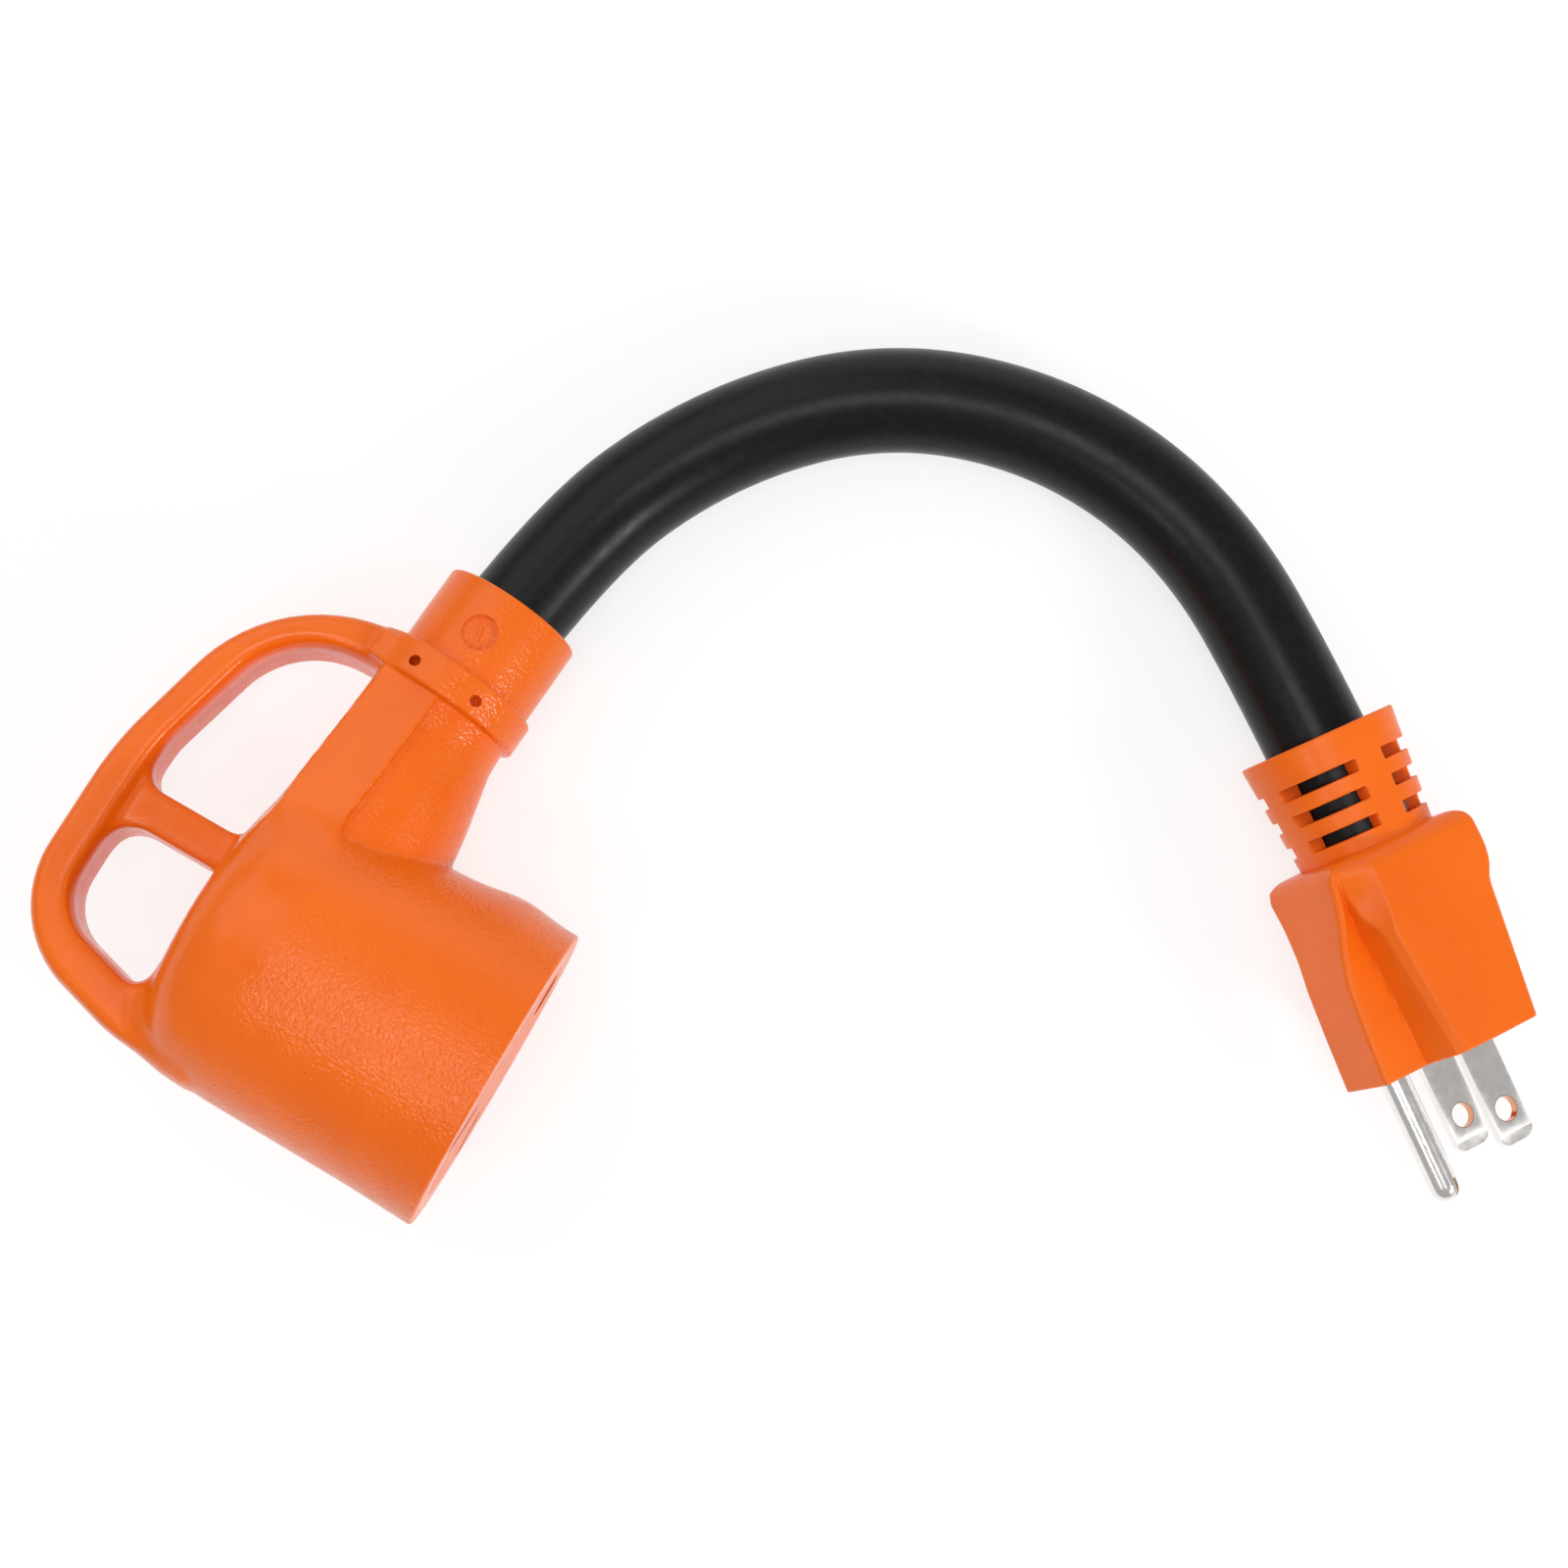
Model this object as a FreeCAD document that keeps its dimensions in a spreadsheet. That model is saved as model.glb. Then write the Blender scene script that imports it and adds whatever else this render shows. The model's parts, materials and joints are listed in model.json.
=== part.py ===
"""Shore power adapter cord: a 30 A three-slot connector with a pull handle, a short heavy
three-conductor cable and a 15 A household plug, as one parametric FreeCAD document.

Frame (mm): origin in the middle of the connector's receptacle face, +X out of that face,
+Z up, and the cable leaves the connector towards +Y. The floor is at Z = -face_radius.
Each moulding is drawn in its own axes and then placed: the connector is rolled a little
about X, and the plug is turned to where the cable ends.
"""
import FreeCAD, Part
import math
import os

from FreeCAD import Placement, Rotation, Vector

PARTS_FOLDER = "parts"
X_AXIS, Y_AXIS, Z_AXIS = Vector(1, 0, 0), Vector(0, 1, 0), Vector(0, 0, 1)
ALONG_X = Rotation(Z_AXIS, X_AXIS)
ALONG_Y = Rotation(Z_AXIS, Y_AXIS)
SECTION_ACROSS_X = Rotation(Y_AXIS, Z_AXIS, X_AXIS, "XYZ")      # a sketch's x, y become Y, Z

# Driving dimensions, millimetres and degrees.
SIZES = {
    # connector body
    "face_radius": 26.0, "body_straight": 38.0, "body_length": 53.2, "tail_radius": 24.6,
    "tail_fillet": 8.0, "rim_radius": 0.4, "neck_x": -37.6, "neck_root": 16.0,
    "neck_radius": 11.9, "neck_top": 48.0, "neck_foot": 12.0, "band_radius": 14.2, "band_height": 5.6,
    "band_x": -38.4, "band_c": 49.7, "collar_radius": 11.85, "collar_length": 19.0,
    "handle_half": 8.0, "handle_edge": 2.2, "connector_roll": -11.0, "collar_tilt": 4.0,
    # receptacle insert and its contacts
    "insert_radius": 20.5, "insert_depth": 22.0, "cover_depth": 3.0, "ground_c": 15.5,
    "slot_c": -9.5, "slot_side": 12.6, "slot_long": 12.0, "slot_wide": 2.3, "ground_bore": 3.7,
    "chamber_radius": 6.2, "chamber_long": 14.6, "chamber_wide": 6.6, "front_wall": 3.0,
    "contact_setback": 0.5, "split_end": 3.0, "spring_setback": 3.0, "tool_over": 1.0,
    "contact_wall": 0.9, "contact_long": 13.0, "contact_wide": 3.6, "contact_depth": 15.0,
    "spring_wall": 0.6, "spring_depth": 6.0, "crimp_radius": 2.6, "crimp_length": 8.0,
    # cable
    "cable_radius": 8.55, "jacket_bore": 6.15, "core_pitch": 3.2, "core_radius": 2.75,
    "copper_radius": 1.65, "filler_pitch": 4.75, "filler_radius": 1.25, "cable_in_collar": 17.8,
    # plug
    "plug_length": 35.4, "cable_w": 1.2, "plug_half": 13.3, "plug_top": 10.8,
    "plug_ground_side": 17.2, "plug_ground_half": 6.0, "groove_in": 8.4, "groove_w": -9.6, "shoulder_w": -7.0,
    "plug_edge": 3.0, "cap_radius": 13.0, "cap_slope": 10.0,
    "relief_length": 19.0, "relief_mouth": 13.4, "relief_neck": 11.7,
    "spigot_radius": 10.4, "spigot_length": 5.0, "window_height": 2.1, "window_pitch": 4.6,
    "window_first": 5.3, "web_width": 5.2, "bridge_depth": 4.0, "bridge_back": 6.0,
    "bridge_inset": 2.4,
    "blade_long": 18.0, "blade_wide": 6.35, "blade_thick": 1.5, "blade_offset": 6.35,
    "blade_hole": 1.98, "blade_hole_back": 5.95, "blade_root": 8.0, "pin_radius": 2.375,
    "pin_long": 21.4, "pin_w": -11.9, "pin_root_radius": 2.0, "pin_root_shown": 0.3,
    "pin_recess_radius": 2.8, "pin_recess_depth": 0.5,
    "tip_slot_depth": 3.2, "tip_slot_wide": 0.6, "plug_crimp": 8.0, "core_fan": 6.0,
}

# Where the plug lies: the middle of its pin face, and the way it is turned.
PLUG_FACE = Vector(130.1, 80.3, -8.4)
PLUG_YAW, PLUG_PITCH, PLUG_ROLL = -35.7, -3.9, -20.4
# The middle of the cable's mouth in the connector, in the connector's own axes.
MOUTH_LOCAL = Vector(-36.1, 66.5, 0)
# The cable's route across the floor between its two straight ends.
ROUTE_MIDDLE = [(-23.1, 106.1, -17.4), (-2.0, 127.7, -17.45), (26.0, 136.9, -17.45), (54.8, 133.6, -17.0)]
EXIT_RUN = 12.8       # straight run outside the connector's mouth
ENTRY_RUN = 6.6       # straight run outside the plug's mouth
JACKET_END = -34.2    # the jacket's end inside the plug, along the plug's axis
ARC_SHARE = 0.45      # share of the shorter run that an arc takes
NEAR = 0.01           # how close counts as lying on a face

doc = FreeCAD.newDocument("ShorePowerCord")
sheet = doc.addObject("Spreadsheet::Sheet", "Sizes")
for row, (alias, value) in enumerate(SIZES.items(), start=1):
    sheet.set(f"A{row}", alias)
    sheet.set(f"B{row}", str(value))
    sheet.setAlias(f"B{row}", alias)
doc.recompute()


def size(alias):
    return float(getattr(sheet, alias))


CONNECTOR = Placement(Vector(), Rotation(X_AXIS, size("connector_roll")))
PLUG = Placement(PLUG_FACE, Rotation(PLUG_YAW, PLUG_PITCH, PLUG_ROLL))
node_objects = []


# ---------------------------------------------------------------- small builders
def bind(item, **sizes):
    """Bind properties to expressions in which a bare alias means a cell of the sheet."""
    for prop, text in sizes.items():
        words = text.replace("(", "( ").replace(")", " )").split()
        item.setExpression(prop, " ".join(f"Sizes.{w}" if w in SIZES else w for w in words))
    return item


def primitive(kind, name, place=None, **sizes):
    item = doc.addObject(f"Part::{kind}", name)
    item.Placement = place or Placement()
    return bind(item, **sizes)


def tube_x(name, radius, length, x_end, y=0.0, z=0.0):
    """A cylinder along X that ends at x_end."""
    place = Placement(Vector(x_end - size_of(length), y, z), ALONG_X)
    return primitive("Cylinder", name, place, Radius=radius, Height=length)


def size_of(text):
    """The number that an expression of aliases, numbers, + and - stands for."""
    total, sign = 0.0, 1.0
    for word in text.split():
        if word in "+-":
            sign = 1.0 if word == "+" else -1.0
        else:
            total += sign * (size(word) if word in SIZES else float(word))
    return total


def cut(name, base, tool):
    item = doc.addObject("Part::Cut", name)
    item.Base, item.Tool = base, tool
    return item


def fuse(name, shapes):
    item = doc.addObject("Part::MultiFuse", name)
    item.Shapes = shapes
    item.Refine = True
    return item


def common(name, shapes):
    item = doc.addObject("Part::MultiCommon", name)
    item.Shapes = shapes
    return item


def rounded_outline(corners):
    """Edges of a closed outline from (x, y, corner radius) points: straight lines, tangent arcs."""
    points = [Vector(x, y, 0) for x, y, _ in corners]
    count, starts, ends, arcs = len(points), [], [], []
    for index, (_, _, radius) in enumerate(corners):
        here = points[index]
        back = (points[index - 1] - here).normalize()
        ahead = (points[(index + 1) % count] - here).normalize()
        half = back.getAngle(ahead) / 2
        reach = radius / math.tan(half)
        starts.append(here + back * reach)
        ends.append(here + ahead * reach)
        inward = (back + ahead).normalize()
        arcs.append(here + inward * (radius / math.sin(half) - radius))
    edges = []
    for index in range(count):
        if corners[index][2] > 0:
            edges.append(Part.Arc(starts[index], arcs[index], ends[index]))
        after = (index + 1) % count
        edges.append(Part.LineSegment(ends[index], starts[after]))
    return edges


def sketch_of(name, corners, place=None):
    sketch = doc.addObject("Sketcher::SketchObject", name)
    sketch.Placement = place or Placement()
    for edge in rounded_outline(corners):
        sketch.addGeometry(edge, False)
    return sketch


def extrusion(name, sketch, length, middle=False):
    item = doc.addObject("Part::Extrusion", name)
    item.Base, item.DirMode, item.Solid, item.Symmetric = sketch, "Normal", True, middle
    return bind(item, LengthFwd=length)


def node(item, label, place=None):
    """Name a finished sub-part and place it."""
    item.Label = label
    if place:
        item.Placement = place
    node_objects.append(item)
    return item


# ---------------------------------------------------------------- cable route and swept cores
def turned(vector, axis, angle):
    return Rotation(axis, math.degrees(angle)).multVec(vector)


def shifted_route(points, offset):
    """The route of a core that lies off the cable's middle by offset at the first run."""
    moved, shift = [points[0] + offset], offset
    for before, here, after in zip(points, points[1:], points[2:]):
        way_in, way_out = (here - before).normalize(), (after - here).normalize()
        axis = way_in.cross(way_out).normalize()
        side_in, side_out = axis.cross(way_in), axis.cross(way_out)
        mitre = (side_in + side_out) / (1 + side_in.dot(side_out))
        moved.append(here + axis * shift.dot(axis) + mitre * shift.dot(side_in))
        shift = turned(shift, axis, way_in.getAngle(way_out))
    return moved + [points[-1] + shift]


def corner_radii(points):
    radii = []
    for before, here, after in zip(points, points[1:], points[2:]):
        shorter = min(here.distanceToPoint(before), after.distanceToPoint(here))
        half = (here - before).getAngle(after - here) / 2
        radii.append(ARC_SHARE * shorter / math.tan(half))
    return radii


def route_wire(points, radii):
    """Straight runs joined by tangent arcs of the given radii."""
    edges, last = [], points[0]
    for before, here, after, radius in zip(points, points[1:], points[2:], radii):
        way_in, way_out = (here - before).normalize(), (after - here).normalize()
        half = way_in.getAngle(way_out) / 2
        start, end = here - way_in * radius * math.tan(half), here + way_out * radius * math.tan(half)
        inward = (way_out - way_in).normalize()
        middle = here + inward * (radius / math.cos(half) - radius)
        edges.append(Part.LineSegment(last, start).toShape())
        edges.append(Part.Arc(start, middle, end).toShape())
        last = end
    edges.append(Part.LineSegment(last, points[-1]).toShape())
    return Part.Wire(edges)


def sweep(name, spine, radius):
    """A round solid of the sheet's radius swept along a route object."""
    ring = doc.addObject("Part::Circle", name + "_ring")
    bind(ring, Radius=radius)
    first = spine.Shape.Edges[0]
    direction = first.tangentAt(first.FirstParameter)
    ring.Placement = Placement(first.valueAt(first.FirstParameter), Rotation(Z_AXIS, direction))
    item = doc.addObject("Part::Sweep", name)
    item.Sections, item.Solid, item.Frenet = [ring], True, False
    item.Spine = (spine, [f"Edge{n + 1}" for n in range(len(spine.Shape.Edges))])
    return item


def route_object(name, points, radii):
    item = doc.addObject("Part::Feature", name)
    item.Shape = route_wire(points, radii)
    return item


tilt = math.radians(size("collar_tilt"))
mouth_way_local = Vector(math.sin(tilt), math.cos(tilt), 0)
mouth = CONNECTOR.multVec(MOUTH_LOCAL)
mouth_way = CONNECTOR.Rotation.multVec(mouth_way_local)
plug_way = PLUG.Rotation.multVec(X_AXIS)
plug_mouth = PLUG.multVec(Vector(-size("plug_length") - size("relief_length"), size("cable_w"), 0))

cable_start = mouth - mouth_way * size("cable_in_collar")
cable_end = PLUG.multVec(Vector(JACKET_END, size("cable_w"), 0))
cable_points = [cable_start, mouth + mouth_way * EXIT_RUN]
cable_points += [Vector(*point) for point in ROUTE_MIDDLE]
cable_points += [plug_mouth - plug_way * ENTRY_RUN, cable_end]
cable_radii = corner_radii(cable_points)
cable_route = route_object("cable_route", cable_points, cable_radii)

# ---------------------------------------------------------------- receptacle insert
# Local axes: +X out of the face, +Y towards the cable side. (name, y, z, turn about X)
CONTACTS = {
    "line": (size("slot_c"), size("slot_side"), -45.0),
    "neutral": (size("slot_c"), -size("slot_side"), 45.0),
    "ground": (size("ground_c"), 0.0, 0.0),
}


def slot_box(name, spot, x_end, depth, long, wide):
    """A box whose long side lies in the slot's direction, centred on the slot."""
    y, z, turn = spot
    rotation = Rotation(X_AXIS, turn)
    corner = Vector(x_end - size_of(depth), -size_of(long) / 2, -size_of(wide) / 2)
    place = Placement(Vector(0, y, z), rotation) * Placement(corner, Rotation())
    return primitive("Box", name, place, Length=depth, Width=long, Height=wide)


def build_insert():
    disc = tube_x("insert_disc", "insert_radius", "insert_depth", 0.0)
    tools = []
    for name, spot in CONTACTS.items():
        y, z, _ = spot
        chamber_depth = "insert_depth - front_wall"
        if name == "ground":
            tools.append(tube_x("ground_hole", "ground_bore", "insert_depth", 0.0, y, z))
            tools.append(tube_x("ground_chamber", "chamber_radius", chamber_depth, -size("front_wall"), y, z))
        else:
            tools.append(slot_box(name + "_slot", spot, 0.0, "insert_depth", "slot_long", "slot_wide"))
            tools.append(slot_box(name + "_chamber", spot, -size("front_wall"), chamber_depth,
                                  "chamber_long", "chamber_wide"))
    node(cut("insert", disc, fuse("insert_openings", tools)), "receptacle_insert", CONNECTOR)


def build_cover():
    back = -size("insert_depth")
    disc = tube_x("cover_disc", "insert_radius", "cover_depth", back)
    holes = [tube_x(f"cover_hole_{name}", "crimp_radius", "cover_depth", back, y, z)
             for name, (y, z, _) in CONTACTS.items()]
    node(cut("cover", disc, fuse("cover_holes", holes)), "insert_back_cover", CONNECTOR)


def build_contact(name, spot):
    """A folded brass contact: two leaves or a split tube, a back web and a crimp barrel."""
    y, z, _ = spot
    front = -size("front_wall") - size("contact_setback")
    back = -size("insert_depth")
    reach = "insert_depth - front_wall - contact_setback"
    pieces, tools = [], []
    if name == "ground":
        pieces.append(tube_x(name + "_tube", "ground_bore + contact_wall", reach, front, y, z))
        tools.append(tube_x(name + "_bore", "ground_bore", "contact_depth", front, y, z))
        tools.append(slot_box(name + "_split", spot, front, "contact_depth - split_end",
                              "chamber_radius + chamber_radius", "contact_wall"))
    else:
        pieces.append(slot_box(name + "_leaves", spot, front, reach, "contact_long", "contact_wide"))
        tools.append(slot_box(name + "_gap", spot, front, "contact_depth",
                              "contact_long + tool_over", "contact_wide - contact_wall - contact_wall"))
    pieces.append(tube_x(name + "_barrel", "crimp_radius", "crimp_length", back, y, z))
    tools.append(tube_x(name + "_barrel_bore", "copper_radius", "crimp_length", back, y, z))
    solid = cut(name + "_contact_piece", fuse(name + "_contact_blank", pieces),
                fuse(name + "_contact_tools", tools))
    node(solid, name + "_contact", CONNECTOR)
    build_spring(name, spot, front)


def build_spring(name, spot, front):
    """The steel clip that squeezes a contact's leaves together."""
    y, z, _ = spot
    middle = front - size("spring_setback")
    if name == "ground":
        outside = "ground_bore + contact_wall + spring_wall"
        outer = tube_x("ground_clip", outside, "spring_depth", middle, y, z)
        inner = tube_x("ground_clip_bore", "ground_bore + contact_wall", "spring_depth", middle, y, z)
    else:
        around = " + spring_wall + spring_wall"
        outer = slot_box(name + "_clip", spot, middle, "spring_depth",
                         "contact_long" + around, "contact_wide" + around)
        inner = slot_box(name + "_clip_bore", spot, middle, "spring_depth", "contact_long", "contact_wide")
    node(cut(name + "_spring_piece", outer, inner), name + "_contact_spring", CONNECTOR)


# ---------------------------------------------------------------- cores, fillers and jacket
PLUG_CRIMPS = {
    "line": Vector(0, 0, -size("blade_offset")),
    "neutral": Vector(0, 0, size("blade_offset")),
    "ground": Vector(0, size("pin_w"), 0),
}
CORE_ANGLES = {"line": 215.0, "neutral": 325.0, "ground": 90.0}
CORNER_X = -38.5          # where the cores turn inside the connector
CORE_BEND = 7.0           # their bend radius there
FAN_BEND = 10.0           # and where they spread inside the plug


def cable_offset(distance, angle):
    """A point beside the cable's middle at its start, square to the cable."""
    side = CONNECTOR.Rotation.multVec(Z_AXIS)
    other = mouth_way.cross(side)
    turn = math.radians(angle)
    return (side * math.sin(turn) + other * math.cos(turn)) * distance


def build_core(name):
    """One stranded copper conductor and its insulation, crimp to crimp."""
    y, z, _ = CONTACTS[name]
    inner = shifted_route(cable_points, cable_offset(size("core_pitch"), CORE_ANGLES[name]))
    barrel_back = -size("insert_depth") - size("crimp_length")
    head = [CONNECTOR.multVec(Vector(barrel_back, y, z)), CONNECTOR.multVec(Vector(CORNER_X, y, z))]
    crimp = PLUG_CRIMPS[name]
    crimp_x = -size("blade_root") - size("plug_crimp")
    tail = [PLUG.multVec(Vector(x, 0, 0) + crimp) for x in (crimp_x - size("core_fan"), crimp_x)]
    points = head + inner + tail
    radii = [CORE_BEND, CORE_BEND] + offset_radii(inner) + [FAN_BEND, FAN_BEND]
    route = route_object(name + "_route", points, radii)
    jacketed = sweep(name + "_insulation_solid", route, "core_radius")
    copper_route = route_object(name + "_copper_route",
                                [head[0] + (head[0] - head[1]).normalize() * size("crimp_length")]
                                + points[1:-1]
                                + [tail[1] + (tail[1] - tail[0]).normalize() * size("plug_crimp")],
                                radii)
    copper = node(sweep(name + "_copper", copper_route, "copper_radius"), name + "_conductor")
    node(cut(name + "_insulation_tube", jacketed, copper), name + "_insulation")
    return jacketed


def offset_radii(inner):
    """Bend radii of a core beside the cable's middle, concentric with the cable's own bends."""
    radii = []
    for index, radius in enumerate(cable_radii):
        before, here, after = cable_points[index:index + 3]
        way_in, way_out = (here - before).normalize(), (after - here).normalize()
        side_in = way_in.cross(way_out).normalize().cross(way_in)
        radii.append(radius - (inner[index + 1] - here).dot(side_in))
    return radii


def build_cable():
    jacket = sweep("jacket_solid", cable_route, "cable_radius")
    bore = sweep("jacket_bore_solid", cable_route, "jacket_bore")
    node(cut("jacket", jacket, bore), "cable_jacket")
    strands = []
    for name, angle in (("left", 150.0), ("right", 30.0), ("low", 270.0)):
        points = shifted_route(cable_points, cable_offset(size("filler_pitch"), angle))
        route = route_object(f"filler_route_{name}", points, offset_radii(points))
        strands.append(sweep(f"filler_{name}", route, "filler_radius"))
    fillers = doc.addObject("Part::Compound", "fillers")
    fillers.Links = strands
    node(fillers, "cable_fillers")
    return jacket


# ---------------------------------------------------------------- connector overmould
HANDLE_OUTER = [(-45, 53.5, 0), (-69.8, 51.5, 26), (-77.9, 17, 45), (-77.9, -17, 18),
                (-52.0, -24.0, 6), (-42, -20, 0)]
UPPER_HOLE = [(-48.2, 46.8, 1.5), (-64.6, 46.2, 14), (-71.9, 21.0, 8), (-71.4, 12.6, 3), (-51.6, 12.6, 3)]
HANDLE_FREE_X = -47       # the handle is clear of the body beyond this
LOWER_HOLE = [(-52.6, 6.3, 2), (-72.2, 6.3, 7), (-72.2, -11.4, 8), (-53.0, -17.0, 3.5)]
SPINE_SIDE = [(-48.6, 48.5, 0), (-51.8, 15.0, 0), (-52.8, -12.0, 0), (-40.5, -12.0, 0), (-38.0, 48.5, 0)]
SPINE_TOP = [(49.0, 12.0, 0), (20.0, 18.0, 0), (10.0, 17.4, 0), (-12.0, 11.0, 0),
             (-12.0, -11.0, 0), (10.0, -17.4, 0), (20.0, -18.0, 0), (49.0, -12.0, 0)]


def build_handle():
    plate = extrusion("handle_plate", sketch_of("handle_outline", HANDLE_OUTER),
                      "handle_half + handle_half", True)
    holes = [extrusion(name, sketch_of(name + "_outline", corners), "handle_half * 4", True)
             for name, corners in (("upper_hole", UPPER_HOLE), ("lower_hole", LOWER_HOLE))]
    blank = cut("handle_blank", plate, fuse("handle_holes", holes))
    doc.recompute()
    rounded = doc.addObject("Part::Fillet", "handle_rounded")
    rounded.Base = blank
    side_face = size("handle_half") - NEAR
    flat = [n + 1 for n, edge in enumerate(blank.Shape.Edges)
            if abs(edge.CenterOfMass.z) > side_face and edge.CenterOfMass.x < HANDLE_FREE_X]
    rounded.Edges = [(n, size("handle_edge"), size("handle_edge")) for n in flat]
    return rounded


def build_spine():
    side = extrusion("spine_side", sketch_of("spine_side_outline", SPINE_SIDE), "face_radius * 2", True)
    across = sketch_of("spine_top_outline", SPINE_TOP, Placement(Vector(), SECTION_ACROSS_X))
    top = extrusion("spine_top", across, "body_length * 4", True)
    return common("spine", [side, top])


def build_body():
    barrel = tube_x("body_barrel", "face_radius", "body_straight", 0.0)
    taper_length = "body_length - body_straight"
    place = Placement(Vector(-size("body_length"), 0, 0), ALONG_X)
    taper = primitive("Cone", "body_taper", place, Radius1="tail_radius", Radius2="face_radius",
                      Height=taper_length)
    blank = fuse("body_blank", [barrel, taper])
    doc.recompute()
    rounded = doc.addObject("Part::Fillet", "body_rounded")
    rounded.Base = blank
    edges = []
    for number, edge in enumerate(blank.Shape.Edges, start=1):
        if edge.BoundBox.XMax < -size("body_length") + NEAR:
            edges.append((number, size("tail_fillet"), size("tail_fillet")))
        elif edge.BoundBox.XMin > -NEAR:
            edges.append((number, size("rim_radius"), size("rim_radius")))
    rounded.Edges = edges
    return rounded


def build_neck():
    foot = Placement(Vector(size("neck_x"), size("neck_foot"), 0), ALONG_Y)
    cone = primitive("Cone", "neck_cone", foot, Radius1="neck_root", Radius2="neck_radius",
                     Height="neck_top - neck_foot")
    turn = Rotation(Z_AXIS, -size("collar_tilt"))
    band_start = Vector(size("band_x"), size("band_c"), 0) - mouth_way_local * (size("band_height") / 2)
    band = primitive("Cylinder", "band", Placement(band_start, turn * ALONG_Y),
                     Radius="band_radius", Height="band_height")
    collar_start = MOUTH_LOCAL - mouth_way_local * size("collar_length")
    collar = primitive("Cylinder", "collar", Placement(collar_start, turn * ALONG_Y),
                       Radius="collar_radius", Height="collar_length")
    return [cone, band, collar]


def build_connector_overmould(fillings):
    shell = fuse("connector_shell", [build_body(), build_handle(), build_spine()] + build_neck())
    shell.Placement = CONNECTOR
    pocket = tube_x("insert_pocket", "insert_radius", "insert_depth + cover_depth", 0.0)
    back = -size("insert_depth") - size("cover_depth")
    barrels = [tube_x(f"barrel_space_{name}", "crimp_radius", "crimp_length - cover_depth", back, y, z)
               for name, (y, z, _) in CONTACTS.items()]
    space = fuse("insert_space", [pocket] + barrels)
    space.Placement = CONNECTOR
    hollow = fuse("connector_hollow", [space] + fillings)
    node(cut("connector_piece", shell, hollow), "connector_overmould")


# ---------------------------------------------------------------- plug
def plug_section(inset=0.0):
    """Half-width corners (across, height, radius) of the plug's section, mirrored to a full outline."""
    half, top = size("plug_half") - inset, size("plug_top") - inset
    ground, narrow = -size("plug_ground_side") + inset, size("plug_ground_half") - inset / 2
    waist, groove = size("groove_in") - inset, size("groove_w") + inset / 2
    shoulder = size("shoulder_w") + inset
    edge = size("plug_edge") - inset / 2
    upper = [(ground, narrow, edge), (groove, waist, edge), (shoulder, half, 2.0), (top, half, edge)]
    lower = [(w, -n, r) for w, n, r in reversed(upper)]
    return upper + lower


def build_plug_body():
    square = Placement(Vector(-size("plug_length"), 0, 0), SECTION_ACROSS_X)
    prism = extrusion("plug_prism", sketch_of("plug_outline", plug_section(), square), "plug_length")
    dome_place = Placement(Vector(-size("plug_length"), size("cable_w"), 0), ALONG_X)
    dome = primitive("Cone", "plug_dome", dome_place,
                     Radius1="cap_radius", Radius2="cap_radius + cap_slope", Height="cap_slope")
    block = tube_x("plug_block", "cap_radius + cap_slope", "plug_length - cap_slope", 0.0, size("cable_w"))
    return common("plug_body", [prism, fuse("plug_limits", [dome, block])])


def relief_x():
    return -size("plug_length") - size("relief_length")


def build_relief():
    side = size("cable_w")
    cone = primitive("Cone", "relief_cone", Placement(Vector(relief_x(), side, 0), ALONG_X),
                     Radius1="relief_mouth", Radius2="relief_neck", Height="relief_length")
    spigot_end = -size("plug_length") + size("spigot_length")
    spigot = tube_x("relief_spigot", "spigot_radius", "spigot_length", spigot_end, side)
    bore = tube_x("relief_bore", "cable_radius", "relief_length + spigot_length", spigot_end, side)
    windows = []
    for row in range(3):
        x_end = relief_x() + size("window_first") + row * size("window_pitch") + size("window_height")
        ring = tube_x(f"window_ring_{row}", "relief_mouth + tool_over", "window_height", x_end, side)
        span, web = 4 * size("relief_mouth"), size("web_width")
        webs = []
        for turn in (0, 90):
            place = (Placement(Vector(0, side, 0), Rotation(X_AXIS, turn))
                     * Placement(Vector(x_end - size("window_height") - size("tool_over"),
                                        -span / 2, -web / 2), Rotation()))
            webs.append(primitive("Box", f"window_web_{row}_{turn}", place, Width="relief_mouth * 4",
                                  Length="window_height + tool_over + tool_over", Height="web_width"))
        windows.append(cut(f"window_row_{row}", ring, fuse(f"window_webs_{row}", webs)))
    solid = cut("relief", fuse("relief_blank", [cone, spigot]), fuse("relief_open", [bore] + windows))
    node(solid, "plug_strain_relief", PLUG)
    envelope = tube_x("relief_space", "spigot_radius", "spigot_length", spigot_end, side)
    envelope.Placement = PLUG * envelope.Placement
    return envelope


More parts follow.
